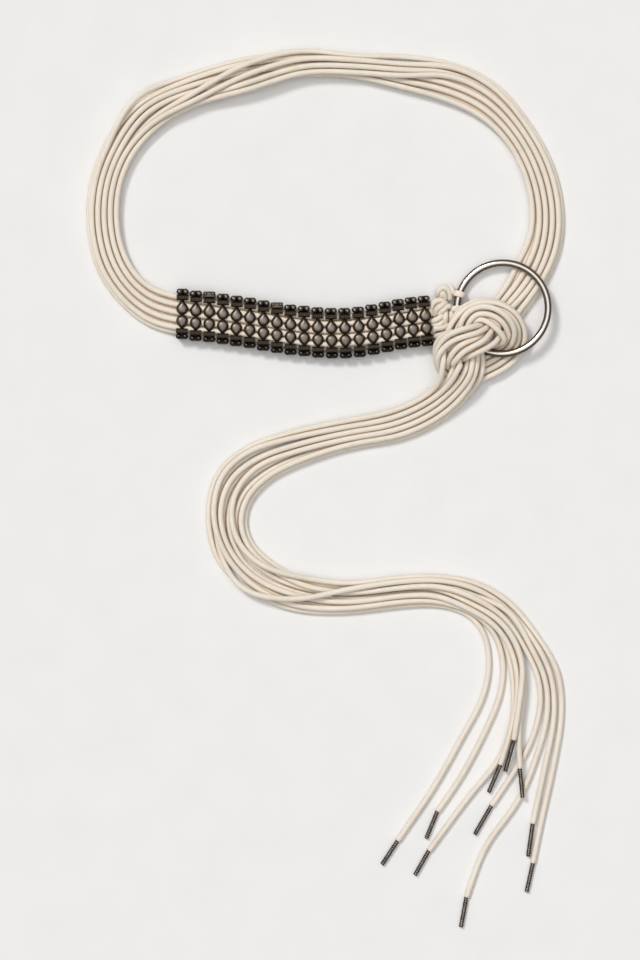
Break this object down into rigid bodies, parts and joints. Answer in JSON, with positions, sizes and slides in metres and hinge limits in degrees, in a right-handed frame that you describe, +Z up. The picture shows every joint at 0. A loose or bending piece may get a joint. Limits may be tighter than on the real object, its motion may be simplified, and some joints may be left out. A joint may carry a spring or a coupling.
{
  "type": "wrap belt",
  "caption": "Wrap belt of limp cream cords through a panel of dark metal slider castings, knotted on a steel ring, with a long tail that fans out into wire-wrapped tips.",
  "frame": {"origin": "on the surface that the belt lies on, under the middle of its outline", "axes": "+Y from the end of the tail towards the far side of the waist loop, +X from the plain end of the panel of castings towards the ring, +Z up"},
  "size_m": [0.3409, 0.6272, 0.0299],
  "materials": {
    "cord": "matte waxed cotton",
    "casting": "antique gunmetal plating, worn brighter on the high spots",
    "ring": "brushed",
    "tip": "dark wound wire"
  },
  "bodies": {
    "root": {"casting_01": "casting", "casting_02": "casting", "casting_03": "casting", "casting_04": "casting", "casting_05": "casting", "casting_06": "casting", "casting_07": "casting", "casting_08": "casting", "casting_09": "casting", "casting_10": "casting", "casting_11": "casting", "casting_12": "casting", "casting_13": "casting", "casting_14": "casting", "casting_15": "casting", "casting_16": "casting", "casting_17": "casting", "casting_18": "casting", "casting_19": "casting", "cord_01": "cord", "cord_02": "cord", "cord_03": "cord", "cord_04": "cord", "cord_05": "cord", "cord_06": "cord", "cord_07": "cord", "cord_08": "cord", "cord_09": "cord", "cord_10": "cord", "macrame_knot_1": "cord", "macrame_knot_2": "cord", "macrame_knot_3": "cord", "macrame_knot_4": "cord", "macrame_knot_5": "cord", "macrame_tail": "cord", "ring_loop_1": "cord", "ring_loop_2": "cord", "ring": "ring", "tip_01": "tip", "tip_02": "tip", "tip_03": "tip", "tip_04": "tip", "tip_05": "tip", "tip_06": "tip", "tip_07": "tip", "tip_08": "tip", "tip_09": "tip", "tip_10": "tip"}
  },
  "joints": []
}
